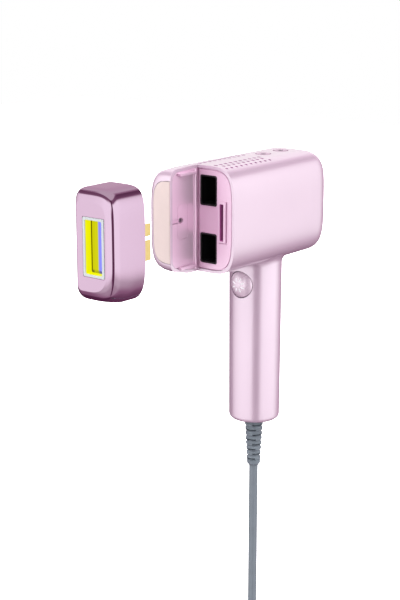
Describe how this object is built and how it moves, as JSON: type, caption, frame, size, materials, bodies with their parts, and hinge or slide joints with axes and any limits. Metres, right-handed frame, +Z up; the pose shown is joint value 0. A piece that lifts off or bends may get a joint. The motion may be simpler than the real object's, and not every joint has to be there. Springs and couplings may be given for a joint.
{
  "type": "light hair remover",
  "caption": "Corded hand-held light hair remover with a dryer-shaped head, a cold plate, a draw-out lamp cartridge, a trigger and a hanging tied cord.",
  "frame": {"origin": "middle of the handle, on its axis, where a hand or a cradle holds it", "axes": "+Z up the handle to the head, -Y out of the treatment face, +X on the side of the lamp cartridge"},
  "size_m": [0.0652, 0.2225, 0.5458],
  "materials": {
    "shell_pink": "satin metallic paint",
    "bay_pink": "satin moulded",
    "button_pink": "satin gloss",
    "plated_pink": "plated metallic gloss",
    "cold_plate": "fine bead-blasted, champagne",
    "seal_rubber": "matte",
    "white_ceramic": "unglazed ceramic",
    "aluminium_fins": "extruded",
    "black_plastic": "satin moulded",
    "screen_mesh": "fine mesh",
    "socket_plastic": "moulded",
    "contact_gold": "gold plated",
    "circuit_board": "solder mask",
    "ferrite": "sintered",
    "copper_winding": "enamelled wire",
    "capacitor_sleeve": "shrink sleeve",
    "screw_steel": "zinc plated",
    "clear_guide": "translucent white",
    "wire_insulation": "smooth",
    "relief_grey": "matte moulded",
    "cord_grey": "satin jacket",
    "tie_strap": "woven hook and loop",
    "adapter_black": "fine spark texture",
    "pin_nickel": "nickel plated",
    "white_frame": "glossy",
    "yellow_coating": "mirror coating",
    "filter_glass": "coated optical glass",
    "reflector_gold": "polished",
    "quartz": "clear quartz"
  },
  "bodies": {
    "handset": {"head_shell": "shell_pink", "handle_shell": "shell_pink", "handle_end_cap": "shell_pink", "neck_collar": "screw_steel", "bay_wall": "bay_pink", "bay_frame": "bay_pink", "cooling_plate": "cold_plate", "plate_gasket": "seal_rubber", "cooler_module": "white_ceramic", "heat_sink": "aluminium_fins", "air_duct": "black_plastic", "fan_housing": "black_plastic", "fan_screws": "screw_steel", "vent_screen": "screen_mesh", "socket_housing": "socket_plastic", "socket_contacts": "contact_gold", "main_board": "circuit_board", "charge_transformer": "ferrite", "trigger_coil": "copper_winding", "flash_capacitor": "capacitor_sleeve", "capacitor_cradle": "black_plastic", "button_board": "circuit_board", "button_switches": "screw_steel", "trigger_board": "circuit_board", "trigger_switch": "screw_steel", "trigger_spring": "screw_steel", "board_screws": "screw_steel", "internal_wires": "wire_insulation", "cord_clamp": "black_plastic", "strain_relief": "relief_grey", "cord_tube": "cord_grey", "cord_hank": "cord_grey", "hank_tie": "tie_strap", "cord_tail": "cord_grey", "adapter_relief": "adapter_black", "adapter_case": "adapter_black", "adapter_pins": "pin_nickel"},
    "fan": {"fan_rotor": "black_plastic"},
    "trigger": {"trigger_button": "button_pink", "trigger_light_guide": "clear_guide"},
    "mode_key": {"mode_button": "button_pink"},
    "level_key": {"level_button": "button_pink"},
    "cartridge": {"cartridge_shell": "plated_pink", "cartridge_back": "black_plastic", "window_bezel": "white_frame", "light_guide": "yellow_coating", "filter_glass": "filter_glass", "lamp_reflector": "reflector_gold", "flash_tube": "quartz", "tube_holders": "white_ceramic", "tube_electrodes": "screw_steel", "ignition_wire": "screw_steel", "lamp_leads": "wire_insulation", "contact_tabs": "contact_gold", "tab_carrier": "black_plastic", "cartridge_screws": "screw_steel", "detent_spring": "screw_steel"},
    "catch": {"detent_pin": "screw_steel"}
  },
  "joints": [
    {"name": "cartridge_slide", "type": "slide", "parent": "handset", "child": "cartridge", "axis": [0, 1, 0], "range_m": [0, 0.0831]},
    {"name": "catch_press", "type": "slide", "parent": "cartridge", "child": "catch", "axis": [1, 0, 0], "range_m": [0, 0.00125], "stiffness_N_per_m": 400, "deforming": ["detent_spring"]},
    {"name": "trigger_press", "type": "slide", "parent": "handset", "child": "trigger", "axis": [0, 1, 0], "range_m": [0, 0.0012], "stiffness_N_per_m": 1500, "deforming": ["trigger_spring"]},
    {"name": "mode_press", "type": "slide", "parent": "handset", "child": "mode_key", "axis": [0, 0, -1], "range_m": [0, 0.0006], "stiffness_N_per_m": 2500},
    {"name": "level_press", "type": "slide", "parent": "handset", "child": "level_key", "axis": [0, 0, -1], "range_m": [0, 0.0006], "stiffness_N_per_m": 2500},
    {"name": "fan_spin", "type": "hinge", "parent": "handset", "child": "fan", "pos_m": [0, -0.0195, 0.1068], "axis": [0, 0, 1], "continuous": true}
  ]
}
